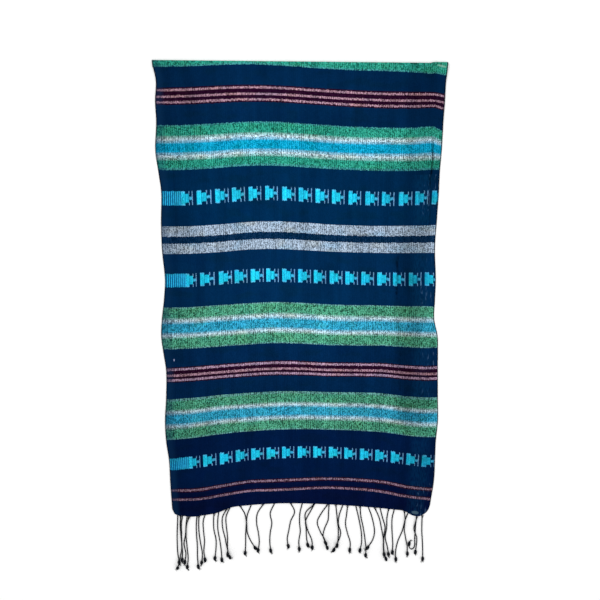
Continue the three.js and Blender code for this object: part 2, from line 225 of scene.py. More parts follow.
def rumple(x, down, seed, count, size):  # a sum of sine waves with wavelengths round size
    draw = np.random.default_rng(seed)
    height = np.zeros(np.broadcast(x, down).shape)
    for _ in range(count):
        angle, phase = draw.uniform(0, math.pi), draw.uniform(0, 2 * math.pi)
        wave = 2 * math.pi / (size * draw.uniform(0.6, 1.7))
        height += np.sin(wave * (x * math.cos(angle) + down * math.sin(angle)) + phase)
    return height / math.sqrt(count)


def upperHeight(u, down, fine):  # middle of the upper wall: over the lower half, or down beside it
    x = acrossAt(u, down)
    raised = cloth["wall"] * 1.5 + cloth["gap"]
    raised = raised + ridgeHeight(ridges, x, down) * rising(down, *cloth["foldsOver"])
    raised = raised + cloth["hemLift"] * rising(down - hemLine(u), *cloth["hemLiftOver"])
    past = [rising(u, *drop[side]) for side in ("left", "right")]
    beside = np.maximum(*past) * rising(down, *drop["over"])
    height = raised + (cloth["wall"] / 2 + cloth["gap"] - raised) * beside
    if fine:
        small = ridgeHeight(creases, x, down)
        small = small + sum(high * rumple(x, down, *waves) for high, *waves in rumples)
        height = height + np.maximum(small, cloth["creaseDeepest"]) * rising(down, *cloth["creasesOver"])
    return height


def upperSurface(u, row):  # outer face: along the floor, round the roll, over the top
    first, start, second = cloth["rollWaves"]
    rise = cloth["rollRadius"] + cloth["rollWaver"] * np.sin(first * u + start) * np.cos(second * u)
    roll, half = cloth["rollRadius"], cloth["wall"] / 2
    down = downAt(u, row)
    settled = rising(down, roll, cloth["settleBy"])
    top = half + 2 * rise
    overTop = top + (upperHeight(u, down, True) - top) * settled + half
    angle = np.clip(row / roll, -1, 1) * math.pi / 2
    reach = rise + half
    y = np.where(row > roll, -down, np.where(row < -roll, row, reach * np.cos(angle) - rise))
    y = y - foldShift(u, np.abs(row))
    z = np.where(row > roll, overTop, np.where(row < -roll, 0, half + rise + reach * np.sin(angle)))
    return np.stack([acrossAt(u, down), y, z], -1), down


def lowerSurface(c, row):  # upper face of the lower half, a little narrower and nearly flat
    inset = rising(row, *lower["insetOver"])
    left, right = -1 + (lower["left"] + 1) * inset, 1 + (lower["right"] - 1) * inset
    u = left + (right - left) * (c + 1) / 2
    down = downAt(u, row)
    x = acrossAt(u, down)
    uneven = lower["uneven"] * (1 + rumple(x, down, *lower["waves"]) / 3) * rising(row, *lower["unevenOver"])
    return np.stack([x, -down, cloth["thick"] + uneven], -1), down


def frameShift():  # from the cloth's own middle to the frame's, in metres
    low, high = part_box("front_half")
    down = np.linspace(0, cloth["hemAt"], 400)
    edges = readAcross(sections, 1, down).min() + readAcross(sections, 2, down).max()
    return np.array([(low[0] + high[0] - edges * mm) / 2, high[1] - cloth["wall"] / 2 * mm, 0])


shift = frameShift()


def gridQuads(index):  # a quad for each square of a grid of point numbers
    return np.stack([index[:-1, :-1], index[1:, :-1], index[1:, 1:], index[:-1, 1:]], -1).reshape(-1, 4)


def meshOf(name, points, quads, maps):  # a smooth mesh with named UV maps, given corner by corner
    mesh = bpy.data.meshes.new(name)
    mesh.from_pydata((points * mm + shift).tolist(), [], quads.tolist())
    for key, values in maps.items():
        layer = mesh.uv_layers.new(name=key)
        layer.data.foreach_set("uv", values.astype(np.float32).ravel())
    mesh.polygons.foreach_set("use_smooth", np.ones(len(quads), bool))
    mesh.update()
    piece = bpy.data.objects.new(name, mesh)
    bpy.context.scene.collection.objects.link(piece)
    return piece


def spaced(*stretches):  # places along a line, each stretch given as (from, to, spacing)
    runs = [np.linspace(a, b, max(1, round((b - a) / step)), endpoint=False) for a, b, step in stretches]
    return np.concatenate(runs + [[stretches[-1][1]]])


def clothPiece(name, surface, columns, rows, back=0):  # a thin shell of the surface, its threads as UV
    u, row = np.meshgrid(columns, rows)
    points, down = surface(u, row)
    along = -weftAt(u, np.abs(down)) - back if back else weftAt(u, down)
    threads = np.stack([warpAt(u, np.abs(down)), along], -1) * mm
    quads = gridQuads(np.arange(u.size).reshape(u.shape))
    piece = meshOf(name, points.reshape(-1, 3), quads, {"weave": threads.reshape(-1, 2)[quads.ravel()]})
    shell = piece.modifiers.new("thickness", "SOLIDIFY")
    shell.thickness, shell.offset = cloth["thick"] * mm, -1
    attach(piece, "root")
    return piece


def makeUpper():  # finer at its right edge and round the roll
    columns = spaced((-1, 0.68, 0.0153), (0.68, 0.97, 0.0076), (0.97, 1, 0.0075))
    roll, hem = cloth["rollRadius"], cloth["hemAt"]
    rows = spaced((-cloth["rollReach"], -roll, 3), (-roll, roll, 0.36), (roll, 60, 2.4), (60, 150, 3),
                  (150, hem - 12, 3.5), (hem - 12, hem, 3))
    piece = clothPiece("scarf_upper", upperSurface, columns, rows)
    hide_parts("front_half")
    return piece


def makeLower():  # starts just inside the upper half's return
    columns = spaced((-1, 1, 0.024))
    rows = spaced((cloth["rollReach"] + cloth["gap"], cloth["hemAt"] - lower["short"], 4.4))
    piece = clothPiece("scarf_lower", lowerSurface, columns, rows, back=cloth["gap"])
    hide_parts("back_half")
    return piece


# the fringes: twisted cords with a knot near each end

cord = {
    "radius": 1.2,
    "twist": 7.5,           # one turn of its two plies
    "plies": 0.2,           # how deep the groove between them is, as a share of the radius
    "sides": 12,
    "step": 1.3,
    "rootTaper": 8,
    "rootRadius": 0.8,
    "rootFall": 16,
    "floorGap": 0.2,
    "curlRadius": 6.2,      # half the width of the ellipse that a curled end goes round
    "curlLong": 11,         # half its length
    "knotLong": 10,
    "knotRadius": 3.5,
    "knotBefore": 5.5,      # its middle lies this far before the tip
    "thinPast": 0.25,       # how much thinner the cord is past it, as a share
    "wrap": 3.4,            # spacing of the knot's turns
    "wrapDeep": 0.14,
    "liftOver": 5,          # samples either way that a lift over another strand is spread
}
fray = {
    "ends": 9, "long": (3.5, 7.5), "radii": (0.32, 0.16), "tipHigh": (0.3, 1.4), "lowest": 0.25,
    "lean": 50,             # degrees that the bunch may lean either way
    "spread": 0.34,         # of its ends, in radians
    "bend": 0.1,
    "from": 1.5,            # they start this far inside the knot
}
gather = {  # the warp ends that run from the hem into each cord
    "ends": 5, "inside": 1.2, "joinAt": 7.5, "bow": 0.35, "radius": 0.33, "long": 8,
    "apart": (1.8, 3.2),    # how far the outer ones start to the side
}
# root, drop, how far it has strayed at each fifth of the drop, and any curl of its end in degrees
frontStrands = [
    (-251, 130, (-1.5, -0.5, 0, -5, -11.5)), (-232, 133, (-7, -9, -8, -6.5, -9.5)),
    (-212, 126, (-1.5, -1.5, 1, 4, 1.5)), (-180, 121, (-2, -2, 2, 1, -2)),
    (-153, 118, (-10, -10.5, -6, -1.5, 5.5)), (-126, 103, (10.5, 13.5, 14.5, 21.5, 34)),
    (-76, 114, (-13.5, -15.5, -12, -10.5, -14)), (-20, 106, (8.5, 0.5, -3.5, -7, -4)),
    (31, 108, (-19, -19, -14, -6, -5)), (59, 104, (-13.5, -22.5, -17, -5.5, 0)),
    (75, 99, (2, 4, 6, 5.5, 2.5)), (100, 110, (-2, -4, 0.5, 6.5, 5)),
    (126, 120, (2, 7, 11, 13.5, 13.5)), (156, 123, (10.5, 16, 20.5, 22, 28)),
    (186, 112, (-3, -3, -5.5, -0.5, 3)), (219, 107, (2, 1, 4.5, 8.5, 9.5)),
    (246, 100, (-2, -5.5, 1, 1, -1.5)), (257, 117, (0, 0.5, 2.5, 4, 4.5)),
]
backStrands = [
    (-257, 118, (-1.5, -3, -3.5, -3, 0)), (-246, 113, (-4, -4.5, -5, -4, -6)),
    (-236, 121, (-4, -6, -10, -7, -11)), (-215, 135, (-3.5, -4, -3, -3.5, -2)),
    (-194, 122, (-9.5, -10, -8.5, -10.5, -7.5)), (-169, 126, (-4, -4.5, -1, 1.5, 2.5)),
    (-146, 116, (-9.5, -9.5, -7.5, -8, -7.5)), (-102, 118, (-8.5, -11.5, -13, -13.5, -15)),
    (-53, 116, (-9.5, -6.5, -10, -11, -8.5)), (5, 112, (-5, -6, -4.5, -7.5, -6)),
    (31, 102, (-10, -19, -18, -17, -13.5)), (61, 95, (-1, -2, -9, -12, -4.5)),
    (90, 110, (-7, -9, -4, -10, -21)), (117, 109, (5, 9.5, 13, 13.5, 9)),
    (143, 100, (7, 12, 14.5, 10, -3)), (168, 114, (5.5, 11.5, 9.5, 9, 11.5)),
    (198, 106, (-4, -4, -2.5, -1, -2)), (229, 119, (-8, -13, -21.5, -25.5, -24.5)),
    (246, 77, (-1, -2, -2.5, -3, -2.5), -225),
]


def threadAt(x):  # the u that lies at x along the hem
    left, right = acrossAt(-1, cloth["hemAt"]), acrossAt(1, cloth["hemAt"])
    return (x - left) / (right - left) * 2 - 1


def smoothLine(points, step):  # a Catmull-Rom curve through the points, sampled evenly
    points = np.asarray(points, float)
    ends = np.concatenate([[2 * points[0] - points[1]], points, [2 * points[-1] - points[-2]]])
    t = np.linspace(0, 1, 40, endpoint=False)[:, None]
    runs = []
    for a, b, c, d in zip(ends[:-3], ends[1:-2], ends[2:-1], ends[3:]):
        runs.append(0.5 * (2 * b + (c - a) * t + (2 * a - 5 * b + 4 * c - d) * t**2
                           + (3 * b - a - 3 * c + d) * t**3))
    return evenLine(np.concatenate(runs + [points[-1:]]), step)


def evenLine(line, step):  # the same line, sampled evenly by length
    gone = np.concatenate([[0], np.cumsum(np.linalg.norm(np.diff(line, axis=0), axis=1))])
    stops = np.linspace(0, gone[-1], max(2, round(gone[-1] / step)))
    return np.stack([np.interp(stops, gone, line[:, k]) for k in range(line.shape[1])], 1), stops


def strandPlan(strand, back):  # the strand seen from above, and its hem
    root, fall, stray, *curl = strand
    hem = float(hemLine(threadAt(root)))
    start = hem + cloth["gap"] + float(hemDip(threadAt(root))) - (lower["short"] if back else 0)
    points = [(root, start)] + ([(root, hem)] if back else [])
    points += [(root + side, hem + fall * (i + 1) / len(stray)) for i, side in enumerate(stray)]
    if curl:  # the end turns on round part of an ellipse
        x, y = points[-1]
        side, reach = math.copysign(cord["curlRadius"], curl[0]), math.radians(abs(curl[0]))
        points += [(x + side * (1 - math.cos(a)), y + cord["curlLong"] * math.sin(a))
                   for a in np.linspace(0, reach, 8)[1:]]
    return smoothLine(points, cord["step"])


def strandThickness(stops):  # thin at the root, then even, with a knot near the tip
    thick = np.interp(stops, [0, cord["rootTaper"]], [cord["rootRadius"], cord["radius"]])
    off = (stops - (stops[-1] - cord["knotBefore"])) / (cord["knotLong"] / 2)
    knot = np.sqrt(np.clip(1 - off**2, 0, 1))
    past = np.clip(off, 0, None) * cord["thinPast"]
    return thick * (1 - past) + (cord["knotRadius"] - cord["radius"]) * knot, knot


def hemHeight(strand):  # of the upper half's cloth where the strand leaves it
    u = threadAt(strand[0])
    return float(upperHeight(u, hemLine(u), False))


def backLine(strand):  # lies on the floor
    plan, stops = strandPlan(strand, True)
    thick, knot = strandThickness(stops)
    return np.column_stack([plan[:, 0], -plan[:, 1], thick + cord["floorGap"]]), stops, thick, knot


def frontLine(strand, others):  # rests on the floor, and on the back strands that it meets
    plan, stops = strandPlan(strand, False)
    thick, knot = strandThickness(stops)
    line = np.column_stack([plan[:, 0], -plan[:, 1], thick + cord["floorGap"]])
    apart = np.linalg.norm(line[:, None, :2] - others[None, :, :2], axis=2)
    room = thick[:, None] + others[None, :, 3]
    over = others[None, :, 2] + np.sqrt(np.clip(room**2 - apart**2, 0, None))
    need = np.where(apart < room, over, 0).max(1)
    wide = cord["liftOver"]
    lifted = np.stack([np.roll(np.pad(need, wide), k)[wide:-wide] for k in range(-wide, wide + 1)]).max(0)
    window = np.hanning(2 * wide + 3)
    soft = np.convolve(np.pad(np.maximum(lifted, line[:, 2]), wide, mode="edge"),
                       window[1:-1] / window.sum(), "valid")
    line[:, 2] = np.maximum(soft, hemHeight(strand) * (1 - rising(stops, 0, cord["rootFall"])))
    line[0, 2] = hemHeight(strand)
    return line, stops, thick, knot


def ringFrames(line):  # sideways and upward directions along a line
    ahead = np.gradient(line, axis=0)
    ahead /= np.linalg.norm(ahead, axis=1, keepdims=True)
    side = np.cross(ahead, (0, 0, 1))
    side /= np.linalg.norm(side, axis=1, keepdims=True)
    return side, np.cross(side, ahead)


def tube(line, radius, phase, stops, sides):  # rings round a line, radius given per ring or per point
    side, up = ringFrames(line)
    angle = np.linspace(0, 2 * math.pi, sides, endpoint=False)[None, :]
    ring = side[:, None] * np.cos(angle)[..., None] + up[:, None] * np.sin(angle)[..., None]
    points = line[:, None] + ring * np.broadcast_to(radius, (len(line), sides))[..., None]
    index = np.arange(len(line) * sides).reshape(len(line), sides)
    outward = [0, 3, 2, 1]  # the order of a quad's corners that faces it outwards
    quads = gridQuads(np.concatenate([index, index[:, :1]], 1))[:, outward]
    turn = np.concatenate([angle[0], [2 * math.pi]]) / (2 * math.pi)
    plane = np.stack(np.broadcast_arrays(turn[None, :] + phase, stops[:, None] * mm), -1)
    flat = gridQuads(np.arange(plane[..., 0].size).reshape(plane.shape[:2]))[:, outward]
    maps = plane.reshape(-1, 2)[flat]
    k = np.arange(sides // 2 - 1)  # quads across the first ring and the last close the ends
    cap = np.stack([k, sides - 1 - k, sides - 2 - k, k + 1], -1)
    caps = [cap[:, ::-1], cap + index[-1, 0]]
    return (points.reshape(-1, 3), np.concatenate([quads] + caps),
            np.concatenate([maps.reshape(-1, 2), np.zeros((2 * cap.size, 2))]))


def cordTube(line, stops, thick, knot, phase):  # two plies wound round each other, and a wrapped knot
    angle = np.linspace(0, 2 * math.pi, cord["sides"], endpoint=False)[None, :]
    wind = angle + 2 * math.pi * (stops[:, None] / cord["twist"] + phase)
    plies = 1 - cord["plies"] + cord["plies"] * np.abs(np.cos(wind)) ** 0.8
    turns = np.abs(np.cos(wind / 2 + math.pi * stops[:, None] / cord["wrap"]))
    turns = 1 - cord["wrapDeep"] + cord["wrapDeep"] * turns
    shape = plies * (1 - knot[:, None]) + turns * knot[:, None]
    return tube(line, thick[:, None] * shape, phase, stops, cord["sides"])


def frayTubes(line, draw):  # loose ends that spread from a knot
    tip, ahead = line[-1], line[-1] - line[-4]
    ahead = ahead / np.linalg.norm(ahead)
    heading = math.atan2(ahead[1], ahead[0]) + math.radians(draw.uniform(-fray["lean"], fray["lean"]))
    made = []
    for _ in range(fray["ends"]):
        spread = heading + draw.normal(0, fray["spread"])
        long, bend = draw.uniform(*fray["long"]), draw.uniform(-fray["bend"], fray["bend"])
        t = np.linspace(0, 1, 6)[:, None]
        way = np.array([math.cos(spread), math.sin(spread), 0])
        cross = np.array([-way[1], way[0], 0])
        path = tip - ahead * fray["from"] + way * t * long + cross * bend * long * t**2
        high = tip[2] * (1 - t[:, 0]) + draw.uniform(*fray["tipHigh"]) * t[:, 0]
        path[:, 2] = np.maximum(high, fray["lowest"])
        made.append(tube(path, np.linspace(*fray["radii"], 6)[:, None], 0, np.linspace(0, long, 6), 4))
    return made


def rootTubes(line, hemHigh, draw):  # warp ends gathered from the hem into the head of a cord
    made = []
    meet = line[np.searchsorted(-line[:, 1], -line[0, 1] + gather["joinAt"])]
    for share in np.linspace(-1, 1, gather["ends"]):
        aside = share * draw.uniform(*gather["apart"])
        start = np.array([line[0, 0] + aside, line[0, 1] + gather["inside"], hemHigh])
        t = np.linspace(0, 1, 7)[:, None]
        path = start * (1 - t) + meet * t
        path[:, 0] += aside * gather["bow"] * (t * (1 - t))[:, 0]
        made.append(tube(path, np.full((7, 1), gather["radius"]), 0, np.linspace(0, gather["long"], 7), 6))
    return made


def joinTubes(name, tubes):  # one mesh of them all
    counts = np.cumsum([0] + [len(points) for points, _, _ in tubes])
    points = np.concatenate([points for points, _, _ in tubes])
    quads = np.concatenate([quads + base for (_, quads, _), base in zip(tubes, counts)])
    return meshOf(name, points, quads, {"cord": np.concatenate([maps for _, _, maps in tubes])})


def makeFringe(name, node, lines, seed, strands, back):  # its strands, each with its loose and root ends
    draw = np.random.default_rng(seed)
    tubes = []
    for (line, stops, thick, knot), strand in zip(lines, strands):
        hemHigh = lower["hemHigh"] if back else hemHeight(strand)
        tubes.append(cordTube(line, stops, thick, knot, draw.uniform(0, 1)))
        tubes += frayTubes(line, draw) + rootTubes(line, hemHigh, draw)
    piece = joinTubes(name, tubes)
    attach(piece, "root")
    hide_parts(node)
    return piece


# the materials


def joining(operation):  # an operator that puts one arithmetic node between a wire and another value
    return lambda wire, other: wire.calc(operation, other)


class Wire:  # a shader socket that Python's operators build on
    def __init__(self, tree, socket=None):
        self.tree, self.socket = tree, socket

    def make(self, kind, settings=None, values=None, out=0):
        made = self.tree.nodes.new(kind)
        for key, value in (settings or {}).items():
            if key == "stops":
                fillRamp(made.color_ramp, value)
            else:
                setattr(made, key, value)
        for key, value in (values or {}).items():
            if isinstance(value, Wire):
                self.tree.links.new(value.socket, made.inputs[key])
            else:
                made.inputs[key].default_value = value
        return Wire(self.tree, made.outputs[out])

    def other(self, out):  # another output of the same node
        return Wire(self.tree, self.socket.node.outputs[out])

    def calc(self, operation, *others):
        return self.make("ShaderNodeMath", {"operation": operation}, dict(enumerate((self, *others))))

    __add__ = __radd__ = joining("ADD")
    __mul__ = __rmul__ = joining("MULTIPLY")
    __sub__, __truediv__ = joining("SUBTRACT"), joining("DIVIDE")
    __gt__, __lt__ = joining("GREATER_THAN"), joining("LESS_THAN")

    def __rsub__(self, other):
        return self.make("ShaderNodeMath", {"operation": "SUBTRACT"}, {0: other, 1: self})

    def between(self, low, high):  # smooth from 0 at low to 1 at high
        return self.make("ShaderNodeMapRange", {"interpolation_type": "SMOOTHSTEP"},
                         {"Value": self, "From Min": low, "From Max": high})

    def near(self, middle, half, soft):  # 1 within half of the middle, with soft sides
        return 1 - (self - middle).calc("ABSOLUTE").between(half - soft, half + soft)

    def blend(self, first, second, way="MIX"):  # two colours: the second where this is 1
        return self.make("ShaderNodeMix", {"data_type": "RGBA", "blend_type": way},
                         {0: self, 6: first, 7: second}, 2)

    def mix(self, share, other):  # a colour: self where share is 0, other where it is 1
        return share.blend(self, other)

    def uvParts(self, name):  # the two numbers of a UV map
        threads = self.make("ShaderNodeUVMap", {"uv_map": name})
        split = self.make("ShaderNodeSeparateXYZ", None, {0: threads})
        return split, split.other(1)

    def scaled(self, share):  # a colour, brighter or darker
        return self.make("ShaderNodeVectorMath", {"operation": "SCALE"}, {0: self, 3: share})

    def noise(self, x, y, detail=1.0):  # about 0, within 0.5 either way
        point = self.make("ShaderNodeCombineXYZ", None, {0: x, 1: y})
        return self.make("ShaderNodeTexNoise", {"noise_dimensions": "2D"}, {
            "Vector": point, "Scale": 1.0, "Detail": detail}) - 0.5

    def chance(self, row=0.0):  # a fixed random value for each whole pair of numbers, about 0
        cell = self.make("ShaderNodeCombineXYZ", None, {0: self.calc("FLOOR"), 1: row})
        return self.make("ShaderNodeTexWhiteNoise", {"noise_dimensions": "2D"}, {"Vector": cell}) - 0.5


def fillRamp(ramp, value):  # the way between stops, then (place, colour) pairs
    ramp.interpolation, stops = value
    while len(ramp.elements) < len(stops):
        ramp.elements.new(1)
    for element, (where, colour) in zip(ramp.elements, stops):
        element.position, element.color = where, colour


def paint(red, green, blue, alpha=1.0):  # screen values from 0 to 255, to the renderer's linear ones
    value = np.array([red, green, blue]) / 255
    linear = np.where(value <= 0.04045, value / 12.92, ((value + 0.055) / 1.055) ** 2.4)
    return (*linear.tolist(), alpha)


def startMaterial(name):  # an empty material, and a wire to build its nodes from
    material = bpy.data.materials.new(name)
    material.use_nodes = True
    material.node_tree.nodes.clear()
    return material, Wire(material.node_tree)


def finishMaterial(start, colour, roughness, gleam, others=None):  # its shader, and its output
    values = {"Base Color": colour, "Roughness": roughness, "Specular IOR Level": gleam}
    shader = start.make("ShaderNodeBsdfPrincipled", None, {**values, **(others or {})})
    output = start.tree.nodes.new("ShaderNodeOutputMaterial")
    start.tree.links.new(shader.socket, output.inputs[0])


# yarn colours, each with how strongly its yarn is flecked, from 0 to 1; the navy changes in steps along the
# cloth, darkest at the far end
dyes = {
    "navy": paint(2, 37, 73, 0.1),
    "navyBlue": paint(1, 41, 78, 0.1),
    "navyGap": paint(1, 38, 71, 0.4),
    "navyMid": paint(2, 41, 79, 0.1),
    "navyDim": paint(2, 37, 75, 0.12),
    "navyLow": paint(2, 27, 67, 0.1),
    "navyEnd": paint(4, 17, 55, 0.12),
    "jade": paint(36, 146, 125, 0.7),
    "jadeEdge": paint(54, 138, 138, 0.7),
    "leaf": paint(68, 149, 119, 0.85),
    "leafEdge": paint(90, 150, 144, 0.8),
    "azure": paint(2, 157, 198, 0.5),
    "sky": paint(42, 157, 192, 0.7),
    "silver": paint(151, 170, 191, 0.75),
    "coral": paint(160, 123, 140, 0.75),
    "mauve": paint(160, 130, 154, 0.75),
    "rust": paint(130, 101, 120, 0.9),
    "wine": paint(36, 6, 34, 0.3),
    "white": paint(180, 206, 217, 0.75),
}
# where each stripe starts, from the fold
stripes = [
    (0, "jade"), (6.8, "jadeEdge"), (9.8, "navy"), (45.4, "wine"), (47.6, "coral"), (52, "wine"),
    (58.8, "coral"), (63.4, "wine"), (69, "coral"), (73.4, "wine"), (75, "navy"), (111.6, "jadeEdge"),
    (114, "jade"), (137, "azure"), (167, "jade"), (187.6, "jadeEdge"), (191, "navyBlue"),
    (297.2, "silver"), (317.8, "navyGap"), (330.9, "silver"), (351.2, "navyMid"), (456.6, "leafEdge"),
    (459.2, "leaf"), (484.6, "sky"), (514.6, "leaf"), (536.8, "leafEdge"), (539.2, "navyDim"),
    (577, "wine"), (579.6, "mauve"), (583.8, "wine"), (590.4, "coral"), (594.8, "wine"),
    (600.4, "mauve"), (604.8, "wine"), (606.2, "navyDim"), (641.4, "leafEdge"), (644.8, "leaf"),
    (670.2, "sky"), (698.6, "leaf"), (720.4, "leafEdge"), (722.6, "navyLow"), (831.5, "wine"),
    (834, "rust"), (838.2, "wine"), (840.4, "navyEnd"), (852.4, "wine"), (854.6, "rust"),
    (858.6, "wine"), (860.4, "navyEnd"),
]
rampEnds = [0, 325, 940]  # a ramp holds 32 stops, so the stripes take two
# between the green and the blue white picks take turns with them, round some that are all white:
# the middle, and half the width of each
whites = [
    (136.9, 5.9, 2), (167.2, 6.3, 2), (484.7, 5.6, 1.9), (514.6, 5.2, 1.8), (670, 4.8, 1.8),
    (698.5, 5.2, 1.7),
]
foldGreen = 14.5  # the green goes on this far past the fold
laterShade = {"from": 540, "by": 660, "less": 0.16}  # the far end is darker

# the tied-and-dyed rows: middle, half height, first block's left side, spacing, how far the second block
# from the left has strayed, and a bright rule of the plain stretch
tiedRows = [(243.8, 13.3, -2.6, 32.4, 4.3, -254), (402.3, 13.1, -4.7, 31.5, 5.8, -252.9),
            (774.2, 12.6, -8.4, 31.4, 3.2, -255.4)]
tiedSplit = (322, 600)  # places between the rows
tied = {
    "block": (4.4, 4.3), "step": (12.9, 4.1), "neck": (20.6, 2.9),  # middle and half width
    "bleed": (1.9, 5.9), "seam": (8.9, 0.8),
    "lines": (17.6, 24.5), "lineHalf": 0.8,
    "stepHigh": 0.62, "neckHigh": 0.2,  # shares of the row's height
    "firstBlock": -231, "endOfPlain": -226, "plainLines": 3.95, "column": 1.5,
    "strayed": (-200, 24, 20),  # middle, half width, soft sides
    "jitter": 2.4, "blur": 1.6, "raggedEnds": 0.13, "soft": 0.4,
    "bleedShare": 0.38, "stepShare": 0.92, "neckShare": 0.8,  # how strong each part is
    # side is the duller turquoise, for the blocks' streaks and seams and for their painted shade towards the
    # right edge
    "bright": paint(36, 216, 252), "side": paint(26, 162, 207), "ends": paint(94, 190, 248),
    "pale": paint(128, 190, 240), "plain": paint(48, 192, 240), "plainDark": paint(0, 78, 136),
}
weave = {
    "warp": 0.75, "weft": 0.95,  # spacing of the threads
    "fleckLong": 1.6, "fleckHigh": 1.85,  # size of the yarns' light and dark flecks
    "dent": 1.87, "dentLong": 5.2,  # width of a dent of the reed, and length of its dashes
    "waver": 0.8, "tooth": 0.8,  # how far the stripes' sides stray
    "gain": 2.2, "darker": 0.95, "paler": 1.0,  # how much the flecks show
}
dyeing = {  # rates of its patches, and for each tint where they're read
    "across": 0.022, "along": 0.045, "full": 0.25,
    "tints": ((0, (1, 0.94, 0.85, 1)), (70, (0.84, 0.95, 1, 1))),
}
# painted shadow lines down the sharp creases: warp, from, to, half width, depth
creaseShadowLines = [(253, 140, 262, 2, 0.8), (255, 262, 330, 1.8, 0.4), (193, 356, 446, 2.6, 0.6),
               (196, 446, 730, 2.4, 0.25), (-243, 180, 300, 2, 0.15)]
# the same with soft sides: painted shade over the hollows beside the edges, the widest over the left side
hollowShade = [(222, 300, 712, 54, 0.42), (200, 300, 712, 140, 0.1), (224, -20, 300, 42, 0.25),
           (200, -20, 300, 140, 0.13), (275, -20, 300, 50, 0.25), (235, 740, 900, 90, 0.25),
           (-290, -20, 900, 185, 0.33)]
# pale ends of yarn near the right edge, and a glow under them
ticks = {
    "columns": [(241, 1.5), (251, 1.7), (262, 1.6)], "from": 200,  # warp and half width
    "colour": paint(92, 128, 170), "share": 0.26,
    "glow": paint(8, 66, 108), "glowShare": 0.2, "glowFrom": (212, 232), "glowTo": (250, 264),
}
edges = {
    "selvedge": (-262, -250), "selvedgeShare": 0.4, "selvedgeColour": paint(12, 42, 74),
    "rim": (267.2, 268.6), "rimShare": 0.75, "rimColour": paint(6, 12, 28),
}
# small marks: warp, place, half wide, half high, strength, colour; the first two are blemishes, the last a
# pale sliver at the fold's right end, partly the lower half's edge and partly a painted glint
marksAndGlint = [(-252, 563, 1.2, 2.8, 0.75, paint(160, 166, 200)), (238, 892, 9, 4.5, 0.6, paint(78, 104, 118)),
         (259, -5.5, 10, 2.4, 0.45, paint(150, 190, 176))]


def stripeRamp(place, low, high):  # the stripes between two places, as a stepped ramp
    inside = [((at - low) / (high - low), dyes[name]) for at, name in stripes if low < at < high]
    first = [dyes[name] for at, name in stripes if at <= low][-1]
    return place.make("ShaderNodeValToRGB", {"stops": ("CONSTANT", [(0.0, first)] + inside)},
                      {0: (place - low) / (high - low)})


def pickRow(along, column):  # a column of the tied rows, chosen by the place along the cloth
    first, second, third = (row[column] for row in tiedRows)
    return first + (along > tiedSplit[0]) * (second - first) + (along > tiedSplit[1]) * (third - second)


def tiedMasks(x, along):  # the blocks, the thin lines beside them, and the plain stretch
    blur = x.noise(x * 0.8, along * 0.8)
    jag = (x / weave["warp"]).chance()
    spacing, middle, soft = pickRow(along, 3), pickRow(along, 0), tied["soft"]
    offset = x - pickRow(along, 2) + x.near(*tied["strayed"]) * pickRow(along, 4)
    cell = (offset / spacing).calc("FLOOR")
    a = offset - cell * spacing + (cell * 1.7 + middle).chance() * tied["jitter"] + blur * tied["blur"]
    v = (along - middle) / pickRow(along, 1) + jag * tied["raggedEnds"] + blur * 0.1
    full = v.near(0, 1, 0.03)
    bleed = a.near(*tied["bleed"], 0.9) * tied["bleedShare"]
    block = a.near(*tied["block"], soft).calc("MAXIMUM", bleed) * full
    step = a.near(*tied["step"], soft) * v.near(0, tied["stepHigh"], 0.05) * tied["stepShare"]
    neck = a.near(*tied["neck"], 0.5) * v.near(0, tied["neckHigh"], 0.08) * tied["neckShare"]
    dashes = x.noise(x * 0.5, along * 0.9).between(-0.2, -0.02)
    first, second = tied["lines"]
    lines = a.near(first, tied["lineHalf"], soft) * v.calc("ABSOLUTE").between(0.5, 0.62)
    lines = (lines + a.near(second, tied["lineHalf"], soft)) * full * dashes
    right = x > tied["firstBlock"]
    solid = block.calc("MAXIMUM", step).calc("MAXIMUM", neck) * right
    ends = v.calc("ABSOLUTE").between(0.7, 0.95).calc("MAXIMUM", neck)
    seam = a.near(*tied["seam"], 0.5)
    return solid, lines * right, full * (x < tied["endOfPlain"]), ends, seam


def tiedColours(x, along, edge, ends, seam):  # streaked blocks, and the ruled plain stretch
    streaks = (x / tied["column"]).chance().between(-0.1, 0.4)
    # duller in streaks and seams, and with painted shade towards the right edge
    edgeShadeAndStreaks = (edge * 0.35 + streaks * 0.6).calc("MAXIMUM", seam * 0.75).calc("MINIMUM", 1.0)
    bright = edgeShadeAndStreaks.blend(tied["bright"], tied["side"]).mix(ends * 0.7, tied["ends"])
    rules = (x - pickRow(along, 5)) * (2 * math.pi / tied["plainLines"])
    dark = 1 - rules.calc("COSINE").between(-0.6, 0.6)
    strong = 1 - x.between(-258, -234) * 0.3
    return bright, (dark * strong).blend(tied["plain"], tied["plainDark"])


# painted shade: darkening down the crease lines and over the hollows and the left side, where shade falls
def paintedShade(across, along):  # 1, less the depth of each crease line and hollow where it runs
    wander = across.noise(along * 0.025, across * 0) * 9
    patchy = across.noise(across * 0.1, along * 0.09).between(-0.3, 0.15)
    creaseShadow = 0
    for warp, first, last, half, depth in creaseShadowLines:
        run = along.between(first - 14, first + 14) * (1 - along.between(last - 14, last + 14))
        creaseShadow = (across + wander).near(warp, half, half) * run * depth + creaseShadow
    shade = 1 - creaseShadow * patchy
    for warp, first, last, half, depth in hollowShade:
        run = along.between(first - 30, first + 30) * (1 - along.between(last - 30, last + 30))
        shade = shade * (1 - (across + wander * 0.5).near(warp, half / 2, half / 2) * run * depth)
    return shade


